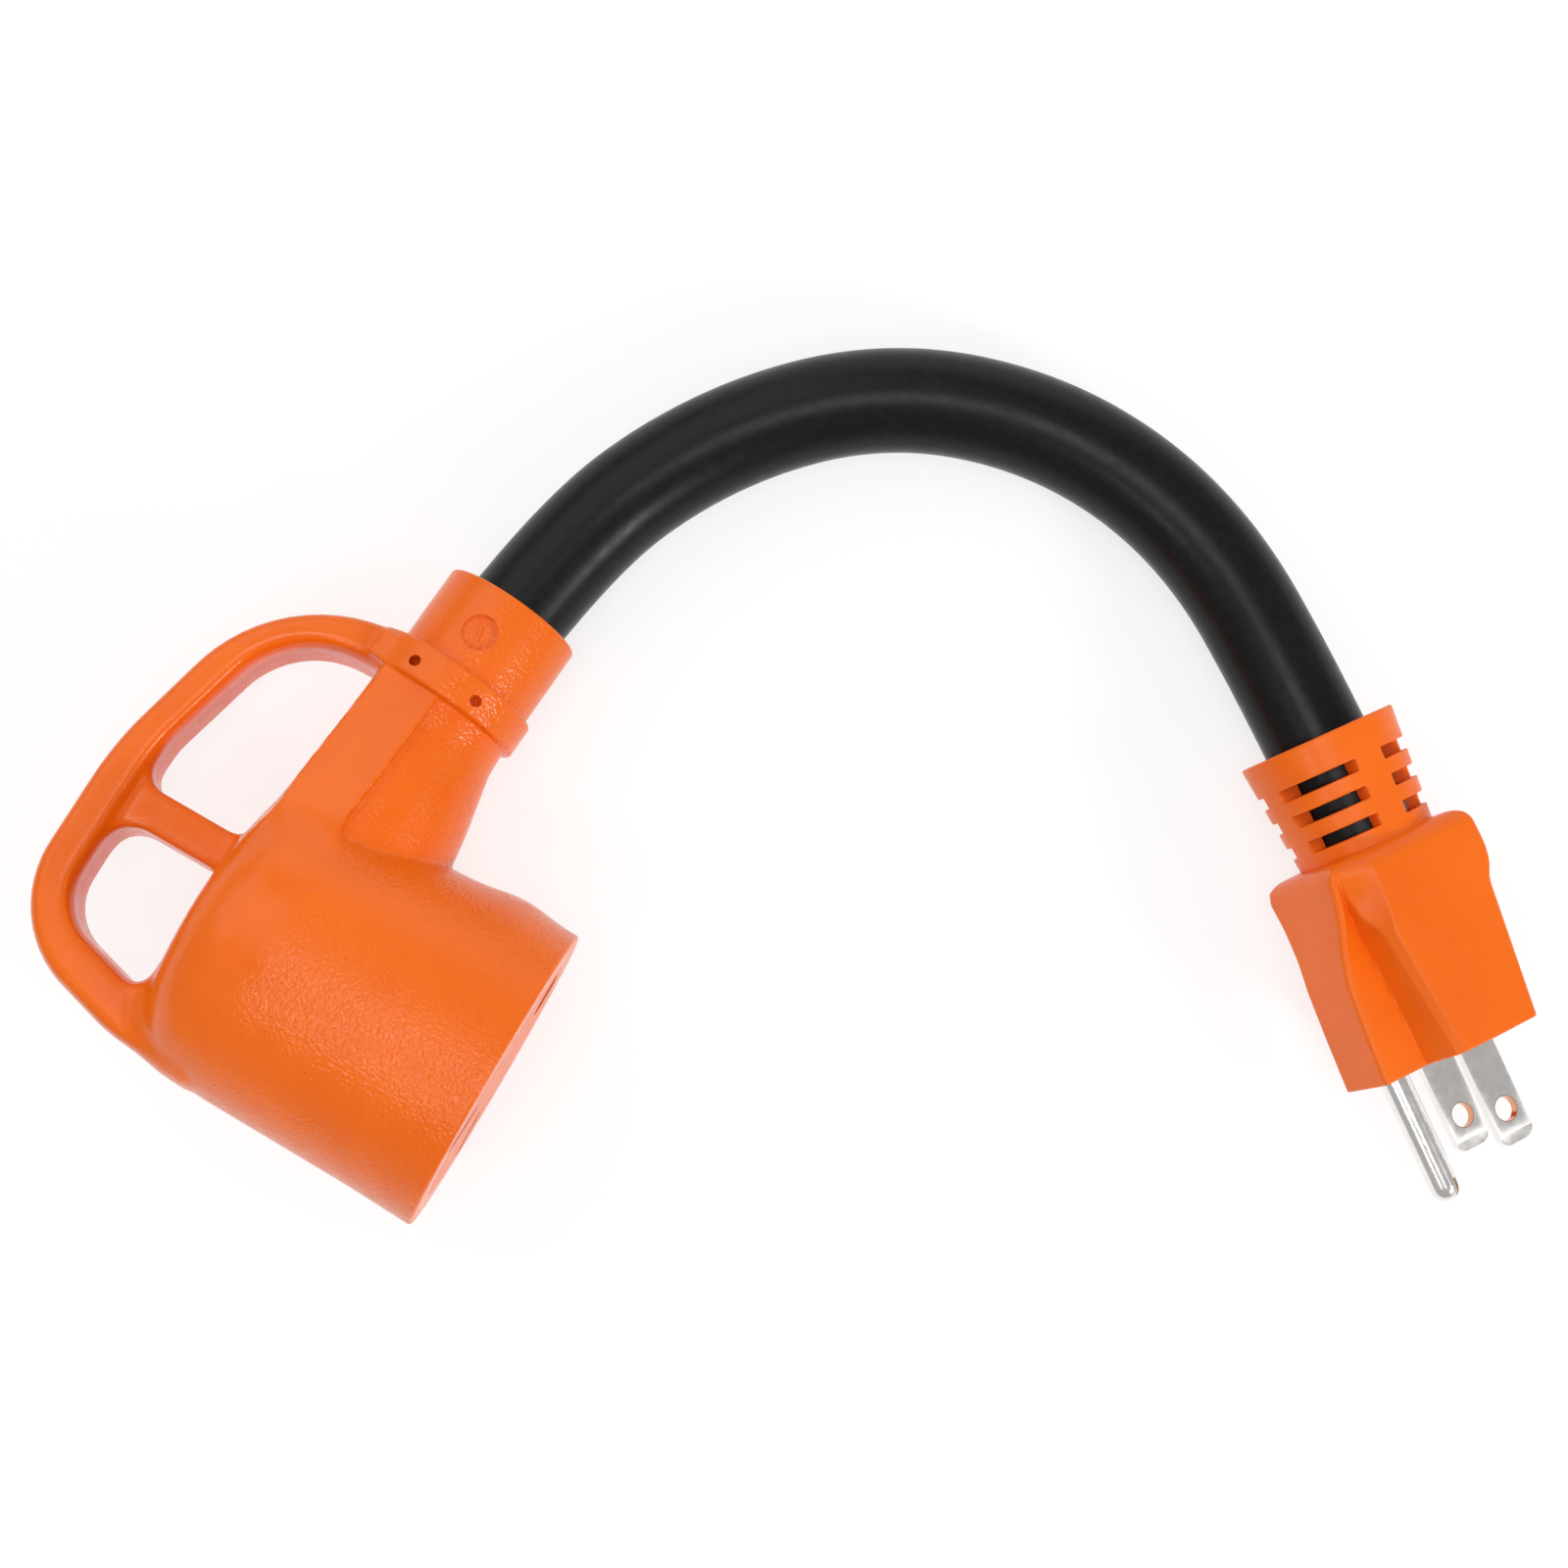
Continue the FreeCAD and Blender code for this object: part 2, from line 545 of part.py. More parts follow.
def build_blade(name):
    """A folded blade with its crimp barrel, in the plug's axes."""
    body = doc.addObject("PartDesign::Body", name + "_blade_body")
    plane = next(item for item in body.Origin.OriginFeatures if item.Role == "XY_Plane")
    outline = body.newObject("Sketcher::SketchObject", name + "_blade_outline")
    outline.AttachmentSupport, outline.MapMode = [(plane, "")], "FlatFace"
    half, long, root = size("blade_wide") / 2, size("blade_long"), -size("blade_root")
    for edge in rounded_outline([(root, -half, 0), (long, -half, 1.6), (long, half, 1.6), (root, half, 0)]):
        outline.addGeometry(edge, False)
    hole_centre = Vector(long - size("blade_hole_back"), 0, 0)
    outline.addGeometry(Part.Circle(hole_centre, Z_AXIS, size("blade_hole")), False)
    pad = body.newObject("PartDesign::Pad", name + "_blade_pad")
    pad.Profile = outline
    bind(pad, Length="blade_thick")
    pad.Midplane = True
    doc.recompute()
    crimp = tube_x(name + "_crimp", "crimp_radius", "plug_crimp", -size("blade_root"))
    bore = tube_x(name + "_crimp_bore", "copper_radius", "plug_crimp", -size("blade_root"))
    solid = cut(name + "_blade_piece", fuse(name + "_blade_blank", [body, crimp]), bore)
    return node(solid, name + "_blade", PLUG * Placement(PLUG_CRIMPS[name], Rotation()))


def build_ground_pin():
    """A round pin with a domed tip, a slot at the tip and a crimp barrel."""
    straight = "pin_long - pin_root_shown - pin_radius"
    shaft = tube_x("pin_shaft", "pin_radius", straight, size("pin_long") - size("pin_radius"))
    root = tube_x("pin_root", "pin_root_radius", "blade_root + pin_root_shown", size("pin_root_shown"))
    tip = primitive("Sphere", "pin_tip", Placement(Vector(size("pin_long") - size("pin_radius"), 0, 0),
                                                   Rotation()), Radius="pin_radius")
    crimp = tube_x("pin_crimp", "crimp_radius", "plug_crimp", -size("blade_root"))
    bore = tube_x("pin_crimp_bore", "copper_radius", "plug_crimp", -size("blade_root"))
    corner = Vector(size("pin_long") - size("tip_slot_depth"), -2 * size("pin_radius"),
                    -size("tip_slot_wide") / 2)
    slot = primitive("Box", "pin_slot", Placement(corner, Rotation()), Height="tip_slot_wide",
                     Length="tip_slot_depth + tool_over", Width="pin_radius * 4")
    solid = cut("pin_piece", fuse("pin_blank", [shaft, tip, root, crimp]), fuse("pin_tools", [bore, slot]))
    return node(solid, "ground_pin", PLUG * Placement(PLUG_CRIMPS["ground"], Rotation()))


def build_bridge(pins):
    """The stiff plate inside the plug that keeps the blades and the pin apart."""
    square = Placement(Vector(-size("bridge_back"), 0, 0), SECTION_ACROSS_X)
    edges = extrusion("bridge_plate", sketch_of("bridge_outline", plug_section(size("bridge_inset")), square),
                      "bridge_depth")
    edges.Placement = PLUG
    return node(cut("bridge", edges, fuse("bridge_openings", pins)), "plug_bridge"), edges


# ---------------------------------------------------------------- assembly
build_insert()
build_cover()
for contact_name, contact_spot in CONTACTS.items():
    build_contact(contact_name, contact_spot)
doc.recompute()
cores = [build_core(core_name) for core_name in CONTACTS]
jacket_solid = build_cable()
build_connector_overmould(cores + [jacket_solid])

relief_space = build_relief()
pins = [build_blade("line"), build_blade("neutral"), build_ground_pin()]
bridge_piece, bridge_blank = build_bridge(pins)
plug_shell = build_plug_body()
plug_shell.Placement = PLUG
barrels = []
for barrel_name, crimp in PLUG_CRIMPS.items():
    barrel = tube_x(f"plug_barrel_{barrel_name}", "crimp_radius", "plug_crimp", -size("blade_root"))
    barrel.Placement = PLUG * Placement(crimp, Rotation()) * barrel.Placement
    barrels.append(barrel)
pin_recess = tube_x("pin_recess", "pin_recess_radius", "pin_recess_depth", 0.0, size("pin_w"))
pin_recess.Placement = PLUG * pin_recess.Placement
plug_spaces = [relief_space, bridge_blank, jacket_solid, pin_recess]
plug_hollow = fuse("plug_hollow", plug_spaces + cores + pins + barrels)
node(cut("plug_piece", plug_shell, plug_hollow), "plug_overmould")
doc.recompute()

# ---------------------------------------------------------------- checks and files
failed = [item.Name for item in doc.Objects if "Invalid" in item.State or "Error" in item.State]
for item in node_objects:
    if item.Shape.isNull() or not item.Shape.isValid() or not item.Shape.Solids:
        failed.append(item.Label)
if failed:
    raise SystemExit(f"failed objects: {failed}")

print("bend radii of the cable:", [round(radius, 1) for radius in cable_radii])
print("runs:", [round(a.distanceToPoint(b), 1) for a, b in zip(cable_points, cable_points[1:])])
section = math.pi * size("cable_radius") ** 2
print("cable solid", round(jacket_solid.Shape.Volume), "section x length",
      round(section * cable_route.Shape.Length), "length", round(cable_route.Shape.Length, 1))

os.makedirs(PARTS_FOLDER, exist_ok=True)
for item in node_objects:
    box = item.Shape.BoundBox
    print(f"{item.Label:26s} {len(item.Shape.Solids)} solid(s) {item.Shape.Volume:9.1f} mm3",
          f"x {box.XMin:7.1f} {box.XMax:7.1f}  y {box.YMin:7.1f} {box.YMax:7.1f}",
          f"z {box.ZMin:6.1f} {box.ZMax:6.1f}")
    item.Shape.exportStep(os.path.join(PARTS_FOLDER, item.Label + ".step"))
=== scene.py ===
"""Looks of the shore power adapter cord: soft orange mouldings, a black cable and nickel pins.

Shapes are worked out in millimetres in each moulding's own axes, and are put in the row frame,
in metres, as they become meshes. The soft mouldings are distance fields turned into meshes.
"""

import json
import math

import bmesh
import bpy
import numpy as np
from mathutils import Matrix, Vector


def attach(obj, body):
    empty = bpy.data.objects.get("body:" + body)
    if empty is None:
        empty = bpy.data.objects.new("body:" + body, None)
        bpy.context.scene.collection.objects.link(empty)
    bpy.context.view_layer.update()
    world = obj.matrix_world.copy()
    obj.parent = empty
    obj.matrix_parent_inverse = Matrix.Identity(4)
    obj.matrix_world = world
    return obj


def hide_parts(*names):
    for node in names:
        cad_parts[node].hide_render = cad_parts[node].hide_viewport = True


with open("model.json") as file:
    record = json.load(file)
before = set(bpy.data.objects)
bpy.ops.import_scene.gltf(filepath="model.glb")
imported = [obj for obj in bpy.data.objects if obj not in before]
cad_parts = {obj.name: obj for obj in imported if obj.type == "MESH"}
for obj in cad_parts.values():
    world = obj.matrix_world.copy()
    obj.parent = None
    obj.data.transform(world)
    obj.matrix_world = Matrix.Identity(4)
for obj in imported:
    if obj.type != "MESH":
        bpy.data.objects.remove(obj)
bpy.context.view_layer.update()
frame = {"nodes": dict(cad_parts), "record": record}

MM = 0.001
SHARP_ANGLE = math.radians(35)


def turn(degrees, axis):
    return Matrix.Rotation(math.radians(degrees), 4, axis)


# Each moulding's own axes in the row frame, in millimetres.
CONNECTOR = turn(-11, "X")                      # +X out of the face, +Y to the cable
PLUG_FACE = Vector((130.1, 80.3, -8.4))
PLUG = Matrix.Translation(PLUG_FACE) @ turn(-35.7, "Z") @ turn(-3.9, "Y") @ turn(-20.4, "X")
FACE_RADIUS = 26.0
FLOOR_Z = -FACE_RADIUS
CABLE_RADIUS = 8.55
SNUG = 0.05                                     # gap between pieces that touch

# ---------------------------------------------------------------- camera
CAMERA_SPOT = (16.0, 63.2, 402.0)
camera_data = bpy.data.cameras.new("camera")
camera_data.lens = 58.5
camera_data.sensor_width = 36.0
camera = bpy.data.objects.new("camera", camera_data)
camera.location = Vector(CAMERA_SPOT) * MM
camera.rotation_euler = (0, 0, math.radians(30))
bpy.context.collection.objects.link(camera)
bpy.context.scene.camera = camera

# ---------------------------------------------------------------- cable
COLLAR_TILT = math.radians(4)
MOUTH = Vector((-36.1, 66.5, 0))
MOUTH_WAY = Vector((math.sin(COLLAR_TILT), math.cos(COLLAR_TILT), 0))
PLUG_LENGTH, RELIEF_LENGTH, CABLE_W = 35.4, 18.7, 1.6
IN_COLLAR, EXIT_RUN, ENTRY_RUN, JACKET_END = 22.0, 12.8, 6.6, -34.2
ROUTE_MIDDLE = ((-23.1, 106.1, -17.4), (-2.0, 127.7, -17.45), (26.0, 136.9, -17.45), (54.8, 133.6, -17.0))


def cable_route():
    """The cable's control points, from inside the collar to inside the plug, in millimetres."""
    points = [CONNECTOR @ (MOUTH - MOUTH_WAY * IN_COLLAR), CONNECTOR @ (MOUTH + MOUTH_WAY * EXIT_RUN)]
    points += [Vector(point) for point in ROUTE_MIDDLE]
    points += [PLUG @ Vector((-PLUG_LENGTH - RELIEF_LENGTH - ENTRY_RUN, CABLE_W, 0)),
               PLUG @ Vector((JACKET_END, CABLE_W, 0))]
    return points


def build_cable():
    curve = bpy.data.curves.new("cable_jacket_skin", "CURVE")
    curve.dimensions = "3D"
    spline = curve.splines.new("NURBS")
    points = cable_route()
    spline.points.add(len(points) - 1)
    for spot, point in zip(spline.points, points):
        spot.co = (*(point * MM), 1.0)
    spline.order_u = 3
    spline.use_endpoint_u = True
    spline.resolution_u = 24
    curve.bevel_depth = CABLE_RADIUS * MM
    curve.bevel_resolution = 14
    curve.use_fill_caps = True
    cable = bpy.data.objects.new("cable_jacket_skin", curve)
    bpy.context.collection.objects.link(cable)
    return cable


cable = build_cable()


# ---------------------------------------------------------------- materials
class Nodes:
    """A material's node tree, with short calls to add and join nodes."""

    def __init__(self, name):
        self.material = bpy.data.materials.new(name)
        self.material.use_nodes = True
        self.tree = self.material.node_tree
        self.shader = self.tree.nodes["Principled BSDF"]
        coordinates = self.tree.nodes.new("ShaderNodeTexCoord")
        self.place = coordinates.outputs["Object"]

    def add(self, kind, **values):
        node = self.tree.nodes.new(kind)
        for key, value in values.items():
            if hasattr(node, key):
                setattr(node, key, value)
            else:
                node.inputs[key.replace("_", " ")].default_value = value
        return node

    def join(self, output, target):
        self.tree.links.new(output, target)

    def math(self, operation, first, second=0.0):
        node = self.add("ShaderNodeMath", operation=operation)
        for socket, value in zip(node.inputs, (first, second)):
            if isinstance(value, (int, float)):
                socket.default_value = value
            else:
                self.join(value, socket)
        return node.outputs[0]

    def noise(self, scale, detail=2.0, roughness=0.5, distortion=0.0):
        node = self.add("ShaderNodeTexNoise", Scale=scale, Detail=detail, Roughness=roughness)
        node.inputs["Distortion"].default_value = distortion
        self.join(self.place, node.inputs["Vector"])
        return node.outputs["Fac"]

    def spread(self, value, low, high, from_low=0.3, from_high=0.7):
        node = self.add("ShaderNodeMapRange")
        self.join(value, node.inputs["Value"])
        for key, number in zip(("From Min", "From Max", "To Min", "To Max"),
                               (from_low, from_high, low, high)):
            node.inputs[key].default_value = number
        return node.outputs["Result"]

    def blend(self, factor, first, second):
        node = self.add("ShaderNodeMix", data_type="RGBA")
        self.join(factor, node.inputs[0])
        node.inputs[6].default_value = (*first, 1)
        node.inputs[7].default_value = (*second, 1)
        return node.outputs[2]

    def along(self, direction):
        """How far a point lies along a direction of the row frame, in metres."""
        node = self.add("ShaderNodeVectorMath", operation="DOT_PRODUCT")
        self.join(self.place, node.inputs[0])
        node.inputs[1].default_value = direction
        return node.outputs["Value"]

    def bump(self, height, strength, distance, below=None):
        node = self.add("ShaderNodeBump", Strength=strength, Distance=distance)
        self.join(height, node.inputs["Height"])
        if below:
            self.join(below, node.inputs["Normal"])
        return node.outputs["Normal"]

    def finish(self, colour, roughness, normal=None, **fixed):
        self.join(colour, self.shader.inputs["Base Color"])
        self.join(roughness, self.shader.inputs["Roughness"])
        if normal:
            self.join(normal, self.shader.inputs["Normal"])
        for key, value in fixed.items():
            self.shader.inputs[key.replace("_", " ")].default_value = value
        return self.material


ORANGE_DEEP = (0.80, 0.130, 0.003)
ORANGE_PALE = (0.86, 0.150, 0.006)


def orange_moulding(name, grain, rough, gloss, seam, rough_side=None):
    """Soft PVC: even orange, a fine spark-eroded grain, and a thin seam where the mould closes."""
    n = Nodes(name)
    cloud = n.noise(60, detail=3)
    colour = n.blend(n.spread(cloud, 0.0, 1.0), ORANGE_DEEP, ORANGE_PALE)
    height = n.noise(1700, detail=1, roughness=0.4)
    if rough_side:
        height = n.math("MULTIPLY", height, n.spread(n.along(rough_side), 0.15, 1.0, -0.041, -0.036))
    normal = n.bump(height, grain, 0.0002)
    direction, offset = seam
    gap = n.math("ABSOLUTE", n.math("SUBTRACT", n.along(direction), offset))
    line = n.spread(gap, 1.0, 0.0, 0.00006, 0.00022)
    normal = n.bump(line, 0.35, 0.00012, below=normal)
    roughness = n.spread(n.noise(400, detail=3), rough - 0.05, rough + 0.06)
    return n.finish(colour, roughness, normal, Specular_IOR_Level=gloss, Subsurface_Weight=0.05,
                    Subsurface_Radius=(0.0016, 0.0005, 0.0002))


def jacket_rubber():
    """Black jacket: satin, with faint lengthwise drawing marks and a little dust."""
    n = Nodes("black_jacket_satin")
    dust = n.noise(900, detail=5, roughness=0.7)
    colour = n.blend(n.spread(dust, 0.0, 1.0, 0.45, 0.75), (0.004, 0.0042, 0.0045), (0.008, 0.0083, 0.009))
    fine = n.noise(3800, detail=2)
    wide = n.noise(150, detail=2)
    height = n.math("ADD", n.math("MULTIPLY", fine, 0.35), n.math("MULTIPLY", wide, 1.2))
    normal = n.bump(height, 0.16, 0.0002)
    roughness = n.spread(n.noise(500, detail=4), 0.29, 0.37)
    return n.finish(colour, roughness, normal, Specular_IOR_Level=0.2)


def plated_metal(name, deep, pale, low, high, bored=None):
    """Plated or rolled metal with fine rolling marks, slight tarnish, and bare metal in a punched hole."""
    n = Nodes(name)
    tarnish = n.noise(220, detail=4, roughness=0.6)
    colour = n.blend(n.spread(tarnish, 0.0, 1.0), deep, pale)
    if bored:
        first, second, spot, radius, bare = bored
        squares = []
        for direction in (first, second):
            away = n.math("SUBTRACT", n.along(direction), Vector(direction).dot(spot))
            squares.append(n.math("MULTIPLY", away, away))
        reach = n.math("SQRT", n.math("ADD", *squares))
        mix = n.add("ShaderNodeMix", data_type="RGBA")
        n.join(n.math("LESS_THAN", reach, radius), mix.inputs[0])
        n.join(colour, mix.inputs[6])
        mix.inputs[7].default_value = (*bare, 1)
        colour = mix.outputs[2]
    normal = n.bump(n.noise(700, detail=6, roughness=0.75, distortion=0.4), 0.03, 0.00004)
    return n.finish(colour, n.spread(n.noise(900, detail=3), low, high), normal, Metallic=1.0)


def plain_plastic(name, deep, pale, rough=0.5):
    n = Nodes(name)
    colour = n.blend(n.spread(n.noise(120, detail=3), 0.0, 1.0), deep, pale)
    normal = n.bump(n.noise(2200, detail=2), 0.12, 0.0001)
    return n.finish(colour, n.spread(n.noise(500), rough - 0.06, rough + 0.06), normal)


def in_row(matrix, direction):
    return tuple(matrix.to_3x3() @ Vector(direction))


def seam_across(matrix, direction, spot):
    """A mould's closing plane, square to a direction through a spot of the moulding's own axes."""
    normal = Vector(in_row(matrix, direction)).normalized()
    return tuple(normal), normal.dot(matrix @ Vector(spot)) * MM


PIN_HOLE = Vector((11.55, 0, 0))
COPPER = (0.72, 0.33, 0.17)
blade_hole = (in_row(PLUG, (1, 0, 0)), in_row(PLUG, (0, 1, 0)), PLUG @ PIN_HOLE * MM, 0.00211, COPPER)
MATERIALS = {
    "orange_pvc_textured": orange_moulding("orange_pvc_textured", 0.75, 0.23, 0.30,
                                           seam_across(CONNECTOR, (0, 0, 1), (0, 0, 0)),
                                           in_row(CONNECTOR, (1, 0, 0))),
    "orange_pvc_smooth": orange_moulding("orange_pvc_smooth", 0.05, 0.34, 0.26,
                                         seam_across(PLUG, (0.05, 1, 0), (0, 0.6, 0))),
    "orange_pvc_sleeve": orange_moulding("orange_pvc_sleeve", 0.05, 0.34, 0.26,
                                         seam_across(PLUG, (0, 1, 0), (0, CABLE_W, 0))),
    "black_jacket": jacket_rubber(),
    "nickel_plate": plated_metal("nickel_plate", (0.83, 0.80, 0.78), (0.90, 0.87, 0.85), 0.15, 0.24,
                                 blade_hole),
    "brass": plated_metal("rolled_brass", (0.62, 0.40, 0.13), (0.78, 0.56, 0.22), 0.24, 0.36),
    "spring_steel": plated_metal("spring_steel_blued", (0.30, 0.31, 0.33), (0.50, 0.51, 0.53), 0.25, 0.38),
    "copper": plated_metal("bare_copper", (0.62, 0.25, 0.12), (0.80, 0.38, 0.22), 0.25, 0.40),
    "nylon_natural": plain_plastic("nylon_natural", (0.62, 0.58, 0.48), (0.74, 0.70, 0.60)),
    "filler_cord": plain_plastic("filler_cord", (0.52, 0.45, 0.33), (0.72, 0.65, 0.52), 0.85),
    "insulation_black": plain_plastic("insulation_black", (0.015, 0.015, 0.016), (0.03, 0.03, 0.03), 0.4),
    "insulation_white": plain_plastic("insulation_white", (0.74, 0.74, 0.71), (0.84, 0.84, 0.82), 0.4),
    "insulation_green": plain_plastic("insulation_green", (0.02, 0.24, 0.07), (0.04, 0.34, 0.11), 0.4),
}


# ---------------------------------------------------------------- distance fields (millimetres)
def rounded(corners, steps=8):
    """Points of a closed outline from (x, y, radius) corners, with the corners as arcs."""
    points, count = [], len(corners)
    for index, (x, y, radius) in enumerate(corners):
        here = np.array((x, y), float)
        back = np.array(corners[index - 1][:2]) - here
        ahead = np.array(corners[(index + 1) % count][:2]) - here
        back, ahead = back / np.linalg.norm(back), ahead / np.linalg.norm(ahead)
        if radius <= 0:
            points.append(here)
            continue
        half = math.acos(np.clip(back @ ahead, -1, 1)) / 2
        middle = back + ahead
        centre = here + middle / np.linalg.norm(middle) * radius / math.sin(half)
        start, end = here + back * radius / math.tan(half), here + ahead * radius / math.tan(half)
        for share in np.linspace(0, 1, steps + 1):
            spoke = (start - centre) * (1 - share) + (end - centre) * share
            points.append(centre + spoke / np.linalg.norm(spoke) * radius)
    return np.array(points)


def outline_distance(points, x, y):
    """Signed distance to a closed outline, below nought inside. Its corners may be arrays like x."""
    nearest, inside = np.inf, False
    for (x0, y0), (x1, y1) in zip(points, [*points[1:], points[0]]):
        ex, ey = x1 - x0, y1 - y0
        share = np.clip(((x - x0) * ex + (y - y0) * ey) / np.maximum(ex * ex + ey * ey, 1e-12), 0, 1)
        nearest = np.minimum(nearest, (x - x0 - share * ex) ** 2 + (y - y0 - share * ey) ** 2)
        crosses = (y0 > y) != (y1 > y)
        inside = inside ^ (crosses & (x < x0 + (y - y0) * ex / np.where(ey == 0, 1e-9, ey)))
    return np.where(inside, -1, 1) * np.sqrt(nearest)


def met(first, second, edge):
    """What both shapes hold, with the edge between them rounded to that radius."""
    out, up = first + edge, second + edge
    return np.hypot(np.maximum(out, 0), np.maximum(up, 0)) + np.minimum(np.maximum(out, up), 0) - edge


def thick(flat, along, half, edge):
    """A flat outline's distance made a slab of that half thickness, with rounded edges."""
    return met(flat, np.abs(along) - half, edge)


def joined(first, second, blend):
    """Both shapes, with a fillet of about that size between them."""
    near = np.maximum(blend - np.abs(first - second), 0) / blend
    return np.minimum(first, second) - near * near * blend / 4


def shared(first, second, blend):
    return -joined(-first, -second, blend)


def carved(first, second, blend):
    """The first shape without the second."""
    return shared(first, -second, blend)


def axis_steps(low, *spans):
    """Grid places from low on, as (end, step) spans."""
    places = [np.array([low])]
    for high, step in spans:
        places.append(np.linspace(places[-1][-1], high, int(round((high - places[-1][-1]) / step)) + 1)[1:])
    return np.concatenate(places)


def eased(*spots):
    """A smooth curve near the given (place, value) points, as a function."""
    places, values = np.array(sorted(spots)).T
    fine = np.arange(places[0] - 6, places[-1] + 6, 0.2)
    weights = np.exp(-(np.arange(-3, 3.01, 0.2) / 1.1) ** 2)
    padded = np.interp(np.arange(fine[0] - 3, fine[-1] + 3.05, 0.2), places, values)
    smooth = np.convolve(padded, weights / weights.sum(), "valid")[:len(fine)]
    return lambda place: np.interp(place, fine, smooth)


def field_mesh(name, field, xs, ys, zs, place, refine=4):
    """The surface where field(x, y, z) is nought, as quads with points moved onto it."""
    grid = field(xs[:, None, None], ys[None, :, None], zs[None, None, :]).astype(np.float32)
    shape = tuple(n - 1 for n in grid.shape)
    total = np.zeros(shape + (3,), np.float32)
    count = np.zeros(shape, np.float32)
    axes = (xs, ys, zs)
    crossings = []
    for axis in range(3):
        low = grid[tuple(slice(None, -1) if a == axis else slice(None) for a in range(3))]
        high = grid[tuple(slice(1, None) if a == axis else slice(None) for a in range(3))]
        crossed = (low < 0) != (high < 0)
        where = np.argwhere(crossed)
        share = low[crossed] / (low[crossed] - high[crossed])
        spots = np.stack([axes[a][where[:, a]] for a in range(3)], axis=1)
        ahead = axes[axis][where[:, axis] + 1] - axes[axis][where[:, axis]]
        spots[:, axis] += share * ahead
        first, second = [a for a in range(3) if a != axis]
        for shift in ((0, 0), (1, 0), (0, 1), (1, 1)):
            cell = where.copy()
            cell[:, first] -= shift[0]
            cell[:, second] -= shift[1]
            fits = np.all((cell >= 0) & (cell < shape), axis=1)
            np.add.at(total, tuple(cell[fits].T), spots[fits])
            np.add.at(count, tuple(cell[fits].T), 1)
        crossings.append((axis, where, low[crossed] < 0))
    active = count > 0
    number = np.full(shape, -1, np.int64)
    number[active] = np.arange(active.sum())
    points = (total[active] / count[active][:, None]).astype(np.float64)
    quads = []
    for axis, where, outward in crossings:
        first, second = (axis + 1) % 3, (axis + 2) % 3
        corners = []
        for shift in ((0, 0), (1, 0), (1, 1), (0, 1)):
            cell = where.copy()
            cell[:, first] -= shift[0]
            cell[:, second] -= shift[1]
            corners.append(cell)
        inner = np.all([(c >= 0).all(1) & (c < shape).all(1) for c in corners], axis=0)
        loops = np.stack([number[tuple(c[inner].T)] for c in corners], axis=1)
        flip = ~outward[inner]
        loops[flip] = loops[flip][:, ::-1]
        quads.append(loops)
    points = settle(points, field, refine)
    row = np.array(place)
    points = (points @ row[:3, :3].T + row[:3, 3]) * MM
    mesh = bpy.data.meshes.new(name)
    mesh.from_pydata(points, [], np.concatenate(quads).tolist())
    mesh.update()
    return smooth_object(name, mesh)


def settle(points, field, rounds, step=0.02):
    """Moves points onto the surface along the field's slope."""
    for _ in range(rounds):
        x, y, z = points.T
        here = field(x, y, z)
        slope = np.stack([field(x + step, y, z) - field(x - step, y, z),
                          field(x, y + step, z) - field(x, y - step, z),
                          field(x, y, z + step) - field(x, y, z - step)], axis=1) / (2 * step)
        size = np.maximum((slope ** 2).sum(1), 0.2)
        move = slope * (here / size)[:, None]
        reach = np.linalg.norm(move, axis=1)
        points = points - move * np.minimum(1, 0.25 / np.maximum(reach, 1e-9))[:, None]
    return points


def smooth_object(name, mesh):
    mesh.polygons.foreach_set("use_smooth", np.ones(len(mesh.polygons), bool))
    mesh.set_sharp_from_angle(angle=SHARP_ANGLE)
    item = bpy.data.objects.new(name, mesh)
    bpy.context.collection.objects.link(item)
    return item


# ---------------------------------------------------------------- simple meshes
def oblong(half, wide):
    """Corners of a rectangle about nought."""
    return [(-half, -wide), (half, -wide), (half, wide), (-half, wide)]


def lathe(name, profile, place, around):
    """A closed shape turned about local X from (x, radius) points, first and last on the axis."""
    work = bmesh.new()
    rings = []
    for x, radius in profile:
        if radius < 1e-6:
            rings.append([work.verts.new(place @ Vector((x, 0, 0)) * MM)])
            continue
        ring = []
        for step in range(around):
            angle = 2 * math.pi * step / around
            ring.append(work.verts.new(place @ Vector((x, radius * math.cos(angle),
                                                       radius * math.sin(angle))) * MM))
        rings.append(ring)
    for low, high in zip(rings, rings[1:]):
        for step in range(around):
            after = (step + 1) % around
            if len(low) == 1:
                work.faces.new((low[0], high[step], high[after]))
            elif len(high) == 1:
                work.faces.new((low[step], high[0], low[after]))
            else:
                work.faces.new((low[step], high[step], high[after], low[after]))
    bmesh.ops.recalc_face_normals(work, faces=work.faces)
    mesh = bpy.data.meshes.new(name)
    work.to_mesh(mesh)
    work.free()
    return smooth_object(name, mesh)


def prism(name, points, low, high, place):
    """A straight-sided solid from (y, z) points, between two places along local X."""
    work = bmesh.new()
    ends = [[work.verts.new(place @ Vector((x, y, z)) * MM) for y, z in points] for x in (low, high)]
    count = len(points)
    for step in range(count):
        after = (step + 1) % count
        work.faces.new((ends[0][step], ends[0][after], ends[1][after], ends[1][step]))
    work.faces.new(ends[0])
    work.faces.new(ends[1])
    bmesh.ops.recalc_face_normals(work, faces=work.faces)
    mesh = bpy.data.meshes.new(name)
    work.to_mesh(mesh)
    work.free()
    item = bpy.data.objects.new(name, mesh)
    bpy.context.collection.objects.link(item)
    return item


def combine(item, other, operation="DIFFERENCE"):
    """Cuts other out of item, or adds it, and removes other."""
    change = item.modifiers.new("combine", "BOOLEAN")
    change.operation, change.object, change.solver = operation, other, "MANIFOLD"
    settle_modifiers(item)
    bpy.data.objects.remove(other)


